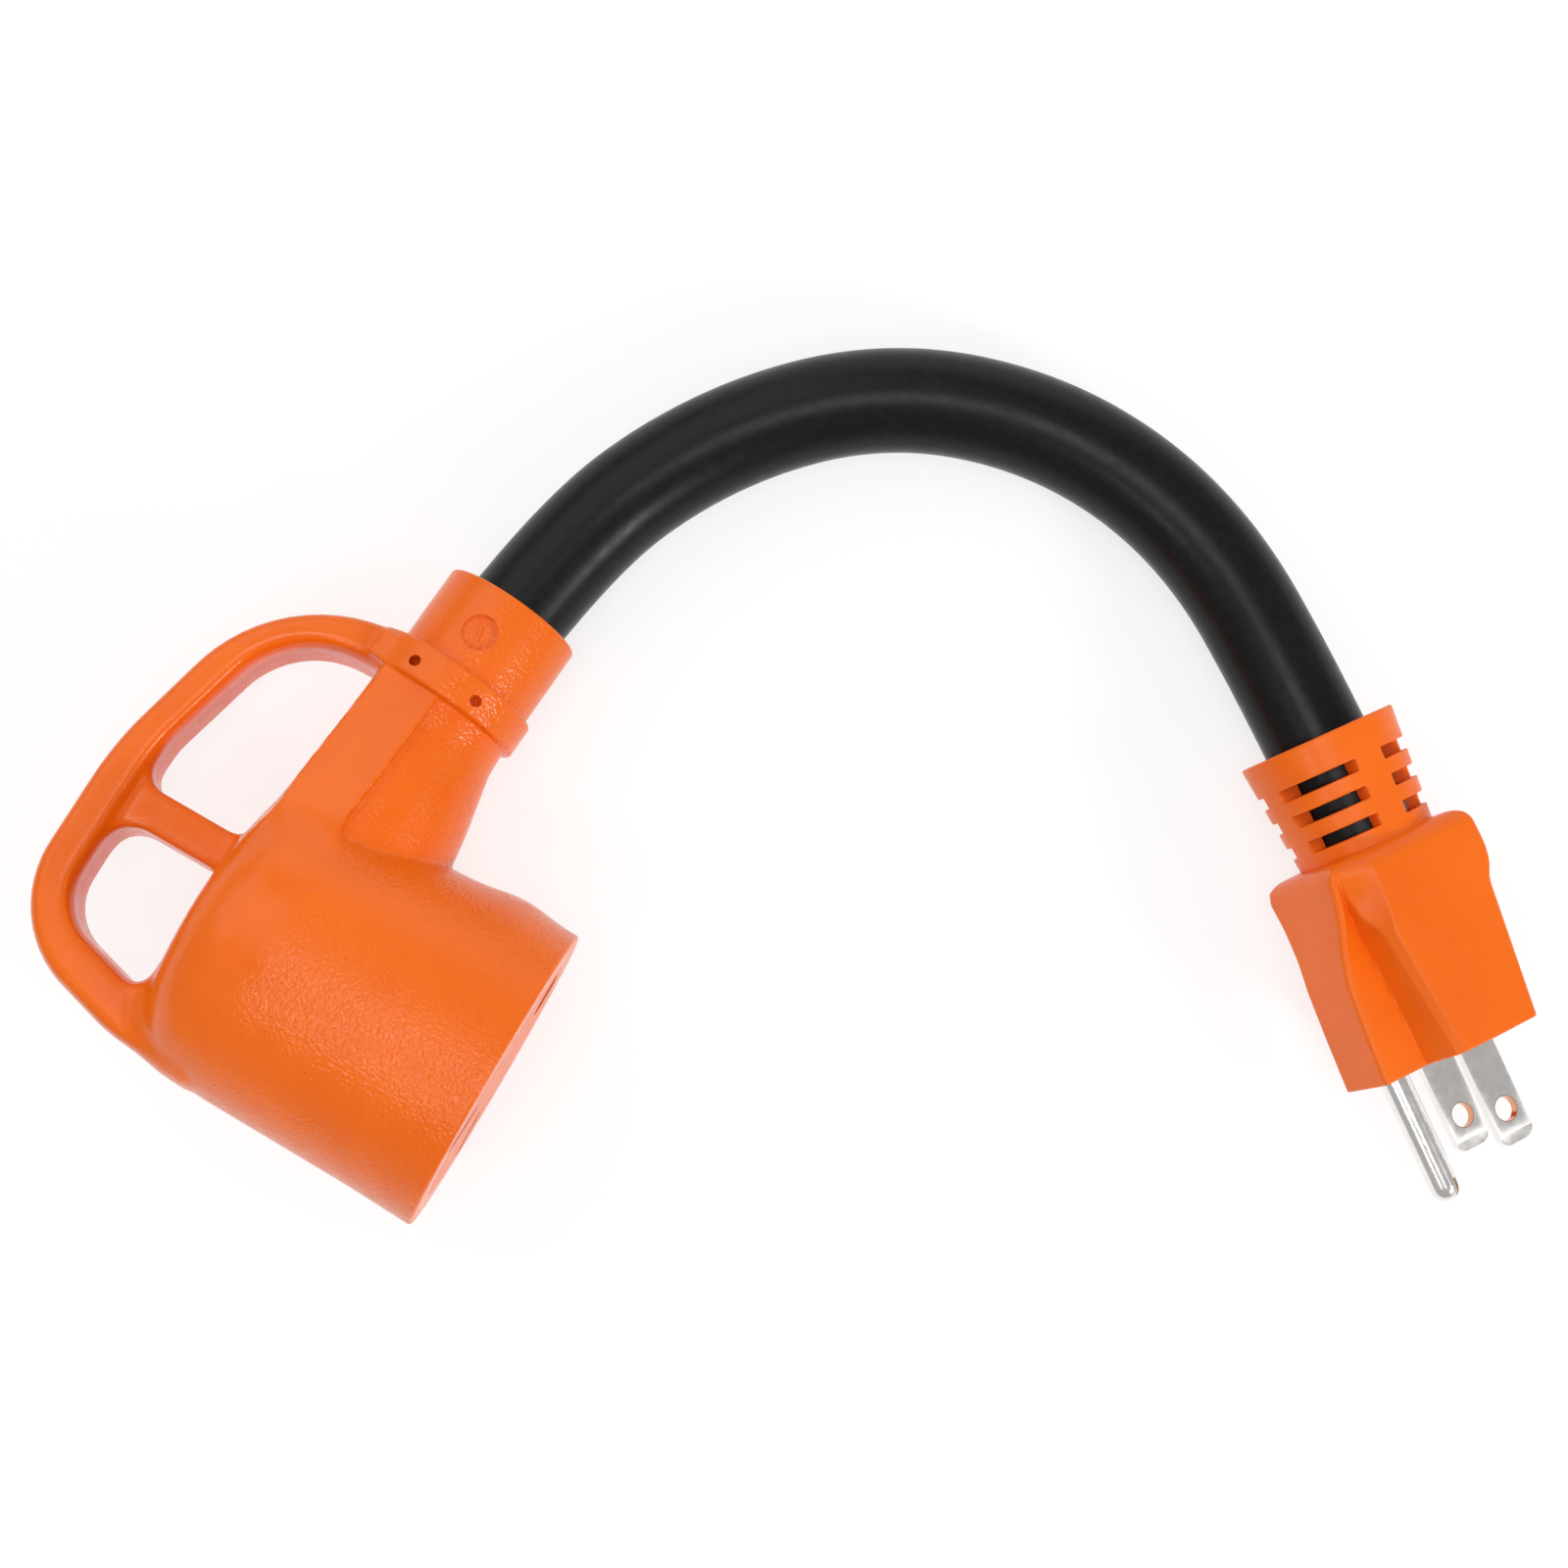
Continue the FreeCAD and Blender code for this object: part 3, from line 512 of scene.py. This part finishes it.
def settle_modifiers(item):
    """Makes an object's modifiers part of its mesh."""
    bpy.context.view_layer.update()
    shown = item.evaluated_get(bpy.context.evaluated_depsgraph_get())
    mesh = bpy.data.meshes.new_from_object(shown)
    item.modifiers.clear()
    item.data = mesh


def bevel_edges(item, width, segments=3, angle=40):
    item.data.polygons.foreach_set("use_smooth", np.ones(len(item.data.polygons), bool))
    change = item.modifiers.new("edges", "BEVEL")
    change.width, change.segments = width * MM, segments
    change.limit_method, change.angle_limit = "ANGLE", math.radians(angle)
    change.harden_normals = True
    settle_modifiers(item)


def dress(item, material):
    item.data.materials.clear()
    item.data.materials.append(MATERIALS[material])
    return item


# ---------------------------------------------------------------- connector moulding
BODY_PROFILE = rounded([(0, -40, 0), (0, 26, 0.5), (-12, 25.5, 60), (-38, 25.1, 40), (-52.6, 23.6, 9.5),
                        (-52.6, -40, 0)], 10)
NECK_X = -37.6
NECK_PROFILE = rounded([(4, -40, 0), (4, 16.8, 0), (31, 13.65, 30), (41.5, 11.8, 8), (51, 11.8, 0),
                        (51, -40, 0)], 6)
HANDLE_OUTER = rounded([(-44, 52.0, 0), (-50.0, 52.7, 8), (-69.0, 50.8, 26.5), (-77.7, 15.5, 55),
                        (-78.0, -16.4, 18), (-54, -23.2, 28), (-42, -23.2, 0)], 14)
HANDLE_VOID = rounded([(-47.4, 47.2, 1.0), (-64.9, 46.3, 16), (-72.2, 18, 30), (-72.4, -11.2, 10),
                       (-53.2, -16.6, 3.8)], 12)
UPPER_HOLE = rounded([(-47.4, 47.2, 1.0), (-64.9, 46.3, 16), (-71.7, 21.0, 8), (-71.3, 12.6, 4),
                      (-51.3, 12.6, 3)])
LOWER_HOLE = rounded([(-52.5, 6.2, 2.5), (-72.2, 6.2, 6), (-72.2, -11.4, 9), (-53.2, -16.6, 3.8)])
SPINE_SIDE = rounded([(-47.7, 49, 0), (-49.9, 24, 60), (-49.5, -3, 0), (-41.1, -3, 0), (-40.3, 14, 60),
                      (-38.6, 31, 60), (-37.5, 49, 0)], 6)
# The spine's half height at (x, c) = (-38, 24), and its fall per millimetre along c and away from the neck.
SPINE_HALF, SPINE_SLOPE, SPINE_LEAN = 16.3, 0.165, 0.2
BAND_PLACE, BAND_RADIUS, BAND_HALF = (-38.4, 49.6), 14.1, 2.95
BAND_BLOCK = ((-12.8, -9.3), (-1.6, -13.6), (2.4, -13.6), (2.4, 13.6), (-1.6, 13.6), (-12.8, 9.3))
PINHOLES, PINHOLE_RADIUS = ((-43.7, 49.5), (-32.3, 48.8)), 0.95
INSERT_RADIUS, INSERT_POCKET = 20.5, 23.0
HANDLE_HALF, CROSSBAR_HALF, HANDLE_EDGE = 8.0, 5.9, 1.3
SWELL_HIGH, SWELL_PLACE, SWELL_LONG = 1.25, -10.5, 6.0
# Sizes of the fillets where two parts of the moulding meet.
BAR_FILLET, SPINE_FILLET, HANDLE_FILLET, NECK_FILLET, BAND_FILLET = 2.5, 3.0, 3.5, 0.8, 0.7
SPINE_EDGE, BAND_EDGE = 0.4, 0.6


def connector_field(x, c, s):
    around = np.hypot(c, s)
    upward = np.clip(c / np.maximum(around, 1), 0, 1)
    swelling = SWELL_HIGH * np.exp(-((x - SWELL_PLACE) / SWELL_LONG) ** 2) * upward ** 4
    body = outline_distance(BODY_PROFILE, x, around - swelling)
    neck = outline_distance(NECK_PROFILE, c + 0 * x, np.hypot(x - NECK_X, s))
    outer, void = outline_distance(HANDLE_OUTER, x, c), outline_distance(HANDLE_VOID, x, c)
    upper, lower = outline_distance(UPPER_HOLE, x, c), outline_distance(LOWER_HOLE, x, c)
    loop = thick(np.maximum(outer, -void), s, HANDLE_HALF, HANDLE_EDGE)
    barred = thick(np.maximum(outer, np.maximum(-upper, -lower)), s, CROSSBAR_HALF, HANDLE_EDGE)
    handle = joined(loop, barred, BAR_FILLET)
    top = SPINE_HALF - SPINE_SLOPE * (c - 24) + SPINE_LEAN * (x + 38)
    rise = (np.abs(s) - top) / math.hypot(1, SPINE_SLOPE, SPINE_LEAN)
    spine = met(outline_distance(SPINE_SIDE, x, c), rise, SPINE_EDGE)
    lift, away = c - BAND_PLACE[1], x - BAND_PLACE[0]
    along = away * math.sin(COLLAR_TILT) + lift * math.cos(COLLAR_TILT)
    across = away * math.cos(COLLAR_TILT) - lift * math.sin(COLLAR_TILT)
    ring = thick(np.hypot(across, s) - BAND_RADIUS, along, BAND_HALF, BAND_EDGE)
    block = thick(outline_distance(BAND_BLOCK, across, s), along + 0.6, BAND_HALF - 0.55, BAND_EDGE)
    whole = joined(joined(body, spine, SPINE_FILLET), handle, HANDLE_FILLET)
    return joined(joined(whole, neck, NECK_FILLET), np.minimum(ring, block), BAND_FILLET)


def build_connector():
    xs = axis_steps(-79.5, (-47, 0.6), (-36, 0.33), (-1.5, 0.6), (0.5, 0.2))
    cs = axis_steps(-27.0, (43.5, 0.6), (55.2, 0.36))
    across = axis_steps(-27.5, (27.5, 0.55))
    shell = field_mesh("connector_moulding", connector_field, xs, cs, across, CONNECTOR)
    combine(shell, lathe("pocket", [(-INSERT_POCKET, 0), (-INSERT_POCKET, INSERT_RADIUS),
                                    (2, INSERT_RADIUS), (2, 0)], CONNECTOR, 192))
    pinhole = [(2, 0), (2, PINHOLE_RADIUS), (20, PINHOLE_RADIUS), (20, 0)]
    for x, c in PINHOLES:
        for side in (-1, 1):
            place = CONNECTOR @ Matrix.Translation((x, c, 0)) @ turn(-90 * side, "Y")
            combine(shell, lathe("pinhole", pinhole, place, 32))
    combine(shell, build_collar(), "UNION")
    shell.data.set_sharp_from_angle(angle=SHARP_ANGLE)
    return dress(shell, "orange_pvc_textured")


COLLAR_RADIUS, COLLAR_LENGTH, BORE_DEPTH, LIP_GAP = 11.85, 19.0, 14.0, 0.4
DIAL_TURN, DIAL_ALONG, DIAL_RADIUS, DIAL_FLOOR = -4.1, -7.8, 2.95, 11.0
DIAL_TICKS, TICK_HEIGHT, BAR_LIFT = 12, 0.16, 0.15


def build_collar():
    """The cable collar: a sleeve with a mould dial sunk in its upper side."""
    edge, lip, bore = 0.45, 0.3, CABLE_RADIUS + LIP_GAP
    profile = [(-COLLAR_LENGTH, 0), (-COLLAR_LENGTH, COLLAR_RADIUS)]
    quarter = np.linspace(0, math.pi / 2, 5)
    profile += [(-edge + edge * math.sin(t), COLLAR_RADIUS - edge + edge * math.cos(t)) for t in quarter]
    profile += [(-lip + lip * math.cos(t), bore + lip - lip * math.sin(t)) for t in quarter]
    profile += [(-3, bore), (-4, CABLE_RADIUS + SNUG), (-BORE_DEPTH, CABLE_RADIUS + SNUG), (-BORE_DEPTH, 0)]
    sleeve_axes = CONNECTOR @ Matrix.Translation(MOUTH) @ turn(-math.degrees(COLLAR_TILT), "Z")
    collar = lathe("collar", profile, sleeve_axes @ turn(90, "Z"), 192)
    dial_axes = sleeve_axes @ Matrix.Translation((0, DIAL_ALONG, 0)) @ turn(DIAL_TURN - 90, "Y")
    clear = COLLAR_RADIUS + 2.15
    disc = [(DIAL_FLOOR, 0), (DIAL_FLOOR, DIAL_RADIUS), (clear, DIAL_RADIUS), (clear, 0)]
    dial = lathe("dial", disc, dial_axes, 64)
    top = DIAL_FLOOR + TICK_HEIGHT
    inner, outer, half = 0.6 * DIAL_RADIUS, 0.85 * DIAL_RADIUS, 0.13
    tick = [(inner, -half), (outer, -half), (outer, half), (inner, half)]
    for step in range(DIAL_TICKS):
        turned = dial_axes @ turn(step * 360 / DIAL_TICKS, "X")
        combine(dial, prism("tick", tick, DIAL_FLOOR - 1, top, turned))
    bar = oblong(1.3, 0.16)
    combine(dial, prism("bar", bar, DIAL_FLOOR - 1, top + BAR_LIFT, dial_axes @ turn(15, "X")))
    combine(collar, dial)
    return collar


# ---------------------------------------------------------------- receptacle insert
SLOTS = ((-9.5, 12.6, -45), (-9.5, -12.6, 45))
SLOT_LONG, SLOT_WIDE, FRONT_WALL = 12.0, 2.3, 3.0
GROUND_PLACE, GROUND_RADIUS, GROUND_CHAMBER = (15.5, 0.0), 3.7, 6.2
CHAMBER = (7.3, 3.3)                            # half sizes
BEHIND, AHEAD = 30, 5                           # how far a cutter starts behind the face and ends ahead


def build_insert():
    rim, back = INSERT_RADIUS - SNUG, 1 - INSERT_POCKET
    disc = lathe("receptacle_face", [(back, 0), (back, rim), (0, rim), (0, 0)], CONNECTOR, 192)
    for c, s, degrees in SLOTS:
        place = CONNECTOR @ Matrix.Translation((0, c, s)) @ turn(degrees, "X")
        through = rounded([(*corner, 0.4) for corner in oblong(SLOT_LONG / 2, SLOT_WIDE / 2)], 3)
        combine(disc, prism("slot", through, -BEHIND, AHEAD, place))
        combine(disc, prism("chamber", oblong(*CHAMBER), -BEHIND, -FRONT_WALL, place))
    ground = CONNECTOR @ Matrix.Translation((0, *GROUND_PLACE))
    bore = [(-BEHIND, 0), (-BEHIND, GROUND_CHAMBER), (-FRONT_WALL, GROUND_CHAMBER),
            (-FRONT_WALL, GROUND_RADIUS), (AHEAD, GROUND_RADIUS), (AHEAD, 0)]
    combine(disc, lathe("ground", bore, ground, 64))
    bevel_edges(disc, 0.35)
    return dress(disc, "orange_pvc_smooth")


# ---------------------------------------------------------------- plug
# How the section changes from the pin face (a = 0) back to the cap, as (a, w or n) points.
GROUND_END = eased((0, -17.3), (-10, -16.7), (-17, -16.1), (-22, -15.0), (-24, -14.5), (-28, -13.8),
                   (-36, -13.3))
GROUND_HALF = eased((0, 6.5), (-10, 6.6), (-17, 6.8), (-22, 7.5), (-24, 8.2), (-28, 9.3), (-32, 10.3),
                    (-36, 10.8))
GROOVE_W = eased((0, -8.6), (-22, -9.2), (-27, -10.2), (-30, -11.5), (-33.5, -12.6))
GROOVE_N = eased((0, 6.7), (-9, 6.6), (-22, 6.0), (-27, 6.7), (-30, 8.2), (-33.5, 11.4))
WALL_W = eased((0, -6.9), (-22.4, -9.1), (-25, -10.5), (-28, -11.1), (-31, -11.7), (-34, -12.2))
WALL_N = eased((0, 12.1), (-22, 11.6), (-25, 10.0), (-28, 9.7), (-31, 10.2), (-34, 11.2))
PANEL_LEFT = eased((0, -6.1), (-22, -8.2), (-25, -7.6), (-36, -7.2))
PANEL_RIGHT = eased((0, 9.0), (-22.6, 11.9), (-23.2, 12.2), (-25, 13.4), (-28, 13.9), (-36, 13.7))
SOFT, PANEL_HALF, CAP_EDGE, LOW_CORNER, CAP_END, FACE_EDGE = 0.9, 13.3, 3.2, 4.5, 34.9, 0.3
PLUG_STEP, SLEEVE_STEP = 0.3, 0.26              # grid of the distance fields


def plug_section(a):
    """Corners (w, n) of half the section, drawn inside by the radius of its edges."""
    end, half, right = GROUND_END(a) + SOFT, GROUND_HALF(a) - SOFT, PANEL_RIGHT(a) - SOFT
    deep, high = -20 + 0 * a, PANEL_HALF - SOFT + 0 * a
    return [(end, deep), (end, half), (GROOVE_W(a), GROOVE_N(a) - 1.3 * SOFT),
            (WALL_W(a) + SOFT, WALL_N(a) - SOFT), (PANEL_LEFT(a) + SOFT, high - 0.45), (0 * a, high),
            (right, high - 0.3), (right, deep)]


def plug_field(a, w, n):
    section = outline_distance(plug_section(a), w, np.abs(n)) - SOFT
    out, under = w - PANEL_RIGHT(a) + LOW_CORNER, -n - PANEL_HALF + LOW_CORNER
    section = np.maximum(section, np.hypot(np.maximum(out, 0), np.maximum(under, 0)) - LOW_CORNER)
    solid = met(met(section, -CAP_END - a, CAP_EDGE), a, FACE_EDGE)
    height = PLUG[2][0] * a + PLUG[2][1] * w + PLUG[2][2] * n + PLUG[2][3]
    return met(solid, FLOOR_Z + 0.02 - height, FACE_EDGE)


def build_plug():
    shell = field_mesh("plug_moulding", plug_field, axis_steps(-36.4, (0.9, PLUG_STEP)),
                       axis_steps(-18.4, (14.8, PLUG_STEP)), axis_steps(-14.1, (14.1, PLUG_STEP)), PLUG)
    return dress(shell, "orange_pvc_smooth")


WINDOW_FIRST, WINDOW_PITCH, WINDOW_HEIGHT, WEB_HALF = 5.5, 4.6, 2.0, 2.6
RELIEF_MOUTH, RELIEF_NECK = 12.85, 11.15
ROUNDNESS = 2.15


def relief_field(a, w, n):
    from_mouth, side = a + PLUG_LENGTH + RELIEF_LENGTH, w - CABLE_W
    square = (np.abs(side) ** ROUNDNESS + np.abs(n) ** ROUNDNESS) ** (1 / ROUNDNESS)
    radius = RELIEF_MOUTH + (RELIEF_NECK - RELIEF_MOUTH) * from_mouth / RELIEF_LENGTH
    half = (RELIEF_LENGTH + 1.5) / 2
    sleeve = thick(square - radius, from_mouth - half, half, 0.45)
    around = np.hypot(side, n)
    bore = CABLE_RADIUS + SNUG + LIP_GAP * np.clip(2.5 - from_mouth, 0, 1)
    sleeve = carved(sleeve, around - bore, 0.4)
    for row in range(3):
        centre = WINDOW_FIRST + row * WINDOW_PITCH + WINDOW_HEIGHT / 2
        window = np.maximum(np.abs(from_mouth - centre) - WINDOW_HEIGHT / 2, WEB_HALF - np.abs(side))
        window = np.maximum(np.maximum(window, WEB_HALF - np.abs(n)), CABLE_RADIUS - 0.6 - around)
        sleeve = carved(sleeve, window, 0.25)
    return sleeve


def build_relief():
    start = -PLUG_LENGTH - RELIEF_LENGTH
    reach = 14.3
    along = axis_steps(start - 0.6, (-PLUG_LENGTH + 2.1, SLEEVE_STEP))
    across = axis_steps(CABLE_W - reach, (CABLE_W + reach, SLEEVE_STEP))
    upward = axis_steps(-reach, (reach, SLEEVE_STEP))
    sleeve = field_mesh("strain_relief_sleeve", relief_field, along, across, upward, PLUG)
    return dress(sleeve, "orange_pvc_sleeve")


# ---------------------------------------------------------------- pins
BLADE_LONG, BLADE_WIDE, BLADE_THICK, BLADE_SIDE = 17.1, 6.35, 1.5, 6.35
BLADE_HOLE, TIP_LONG, TIP_HALF = 1.98, 1.7, 0.3
PIN_RADIUS, PIN_LONG, PIN_ACROSS = 2.375, 21.4, -11.9
PIN_ROOT = 8.0                                  # how far blades and pin run on into the plug


def build_blade(name, side):
    """A flat blade with rounded corners, a bevelled tip and a hole."""
    half, thick_half = BLADE_WIDE / 2, BLADE_THICK / 2
    axes = PLUG @ Matrix.Translation((0, 0, side))
    across = axes @ Matrix(((0, 1, 0, 0), (1, 0, 0, 0), (0, 0, 1, 0), (0, 0, 0, 1)))
    upright = axes @ Matrix(((0, 0, 1, 0), (0, 1, 0, 0), (1, 0, 0, 0), (0, 0, 0, 1)))
    shoulder = BLADE_LONG - TIP_LONG
    side_view = [(-PIN_ROOT, -thick_half), (shoulder, -thick_half), (BLADE_LONG, -TIP_HALF),
                 (BLADE_LONG, TIP_HALF), (shoulder, thick_half), (-PIN_ROOT, thick_half)]
    blade = prism(name, side_view, -half, half, across)
    plan = rounded([(-half, -9, 0), (-half, BLADE_LONG, 1.7), (half, BLADE_LONG, 1.7), (half, -9, 0)], 6)
    combine(blade, prism("plan", plan, -2, 2, upright), "INTERSECT")
    hole = lathe("hole", [(-3, 0), (-3, BLADE_HOLE), (3, BLADE_HOLE), (3, 0)],
                 axes @ Matrix.Translation((PIN_HOLE.x, 0, 0)) @ turn(90, "Y"), 48)
    combine(blade, hole)
    bevel_edges(blade, 0.14, 2)
    return dress(blade, "nickel_plate")


def build_ground_pin():
    place = PLUG @ Matrix.Translation((0, PIN_ACROSS, 0))
    nose = PIN_LONG - PIN_RADIUS
    profile = [(-PIN_ROOT, 0), (-PIN_ROOT, PIN_RADIUS), (nose, PIN_RADIUS)]
    profile += [(nose + PIN_RADIUS * math.sin(t), PIN_RADIUS * math.cos(t) ** 0.9)
                for t in np.linspace(0, math.pi / 2, 14)[1:-1]]
    profile += [(PIN_LONG, 0)]
    pin = lathe("ground_pin_tube", profile, place, 64)
    combine(pin, prism("seam", oblong(3, 0.3), PIN_LONG - 3.2, PIN_LONG + 1, place @ turn(65, "X")))
    pin.data.set_sharp_from_angle(angle=SHARP_ANGLE)
    core = lathe("ground_pin_core", [(nose - 2, 0), (nose - 2, 1.9), (nose, 1.9), (nose + 1.3, 1.45),
                                     (nose + 1.95, 0.7), (nose + 2.05, 0)], place, 32)
    return dress(pin, "nickel_plate"), dress(core, "brass")


# ---------------------------------------------------------------- pieces and their bodies
BODY = "root"


def install(piece, slot_name, *nodes):
    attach(piece, BODY)
    if nodes:
        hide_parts(*nodes)


cable.data.materials.append(MATERIALS["black_jacket"])
install(cable, "black_jacket", "cable_jacket")

connector = build_connector()
install(connector, "orange_pvc_textured", "connector_overmould")
receptacle = build_insert()
install(receptacle, "orange_pvc_smooth", "receptacle_insert")
plug = build_plug()
install(plug, "orange_pvc_smooth", "plug_overmould")
relief = build_relief()
install(relief, "orange_pvc_smooth", "plug_strain_relief")
line_blade = build_blade("line_blade_plated", -BLADE_SIDE)
install(line_blade, "nickel_plate", "line_blade")
neutral_blade = build_blade("neutral_blade_plated", BLADE_SIDE)
install(neutral_blade, "nickel_plate", "neutral_blade")
ground_pin, pin_core = build_ground_pin()
install(ground_pin, "nickel_plate", "ground_pin")
install(pin_core, "brass", "ground_pin")

slots = {part["node"]: part["material_slot"] for part in frame["record"]["subparts"]}
replaced = {"connector_overmould", "receptacle_insert", "plug_overmould", "plug_strain_relief",
            "line_blade", "neutral_blade", "ground_pin", "cable_jacket"}
for node_name, item in frame["nodes"].items():
    if node_name not in replaced:
        for material_slot in item.material_slots:
            material_slot.material = MATERIALS[slots[node_name]]

# ---------------------------------------------------------------- floor and light
FLOOR_HALF = 2.0


def build_floor():
    mesh = bpy.data.meshes.new("floor")
    corners = [(x * FLOOR_HALF, y * FLOOR_HALF, FLOOR_Z * MM)
               for x, y in ((-1, -1), (1, -1), (1, 1), (-1, 1))]
    mesh.from_pydata(corners, [], [(0, 1, 2, 3)])
    floor = bpy.data.objects.new("floor", mesh)
    bpy.context.collection.objects.link(floor)
    n = Nodes("pale_floor")
    colour = n.blend(n.spread(n.noise(3), 0.0, 1.0), (0.28, 0.28, 0.28), (0.30, 0.30, 0.30))
    mesh.materials.append(n.finish(colour, n.spread(n.noise(20), 0.85, 0.95), Specular_IOR_Level=0.1,
                                   Emission_Color=(1, 1, 1, 1), Emission_Strength=0.73))


def area_light(name, spot, aim, width, height, power):
    data = bpy.data.lights.new(name, "AREA")
    data.shape, data.size, data.size_y = "RECTANGLE", width, height
    data.energy = power
    item = bpy.data.objects.new(name, data)
    item.location = spot
    item.rotation_euler = (Vector(aim) - Vector(spot)).to_track_quat("-Z", "Y").to_euler()
    bpy.context.collection.objects.link(item)


build_floor()
CENTRE = (0.02, 0.06, -0.01)
area_light("key", (0.80, 0.015, 0.43), CENTRE, 0.16, 0.16, 2.8)
area_light("side", (0.78, 0.36, 0.66), (0.13, 0.08, 0), 0.3, 0.3, 0.5)
area_light("fill", (-0.75, 0.45, 0.85), CENTRE, 1.0, 1.0, 3.8)
area_light("back", (-0.35, 1.05, 0.22), (0.04, 0.11, 0), 1.0, 0.4, 1.1)
area_light("top", (0.0, 0.09, 1.2), CENTRE, 0.45, 0.45, 2.9)
area_light("low", (-0.08, -0.27, 0.60), (-0.03, 0, 0), 0.12, 0.12, 0.45)
world = bpy.data.worlds.new("studio")
world.use_nodes = True
world.node_tree.nodes["Background"].inputs["Color"].default_value = (1, 1, 1, 1)
world.node_tree.nodes["Background"].inputs["Strength"].default_value = 0.45
bpy.context.scene.world = world
bpy.context.scene.view_settings.view_transform = "Standard"
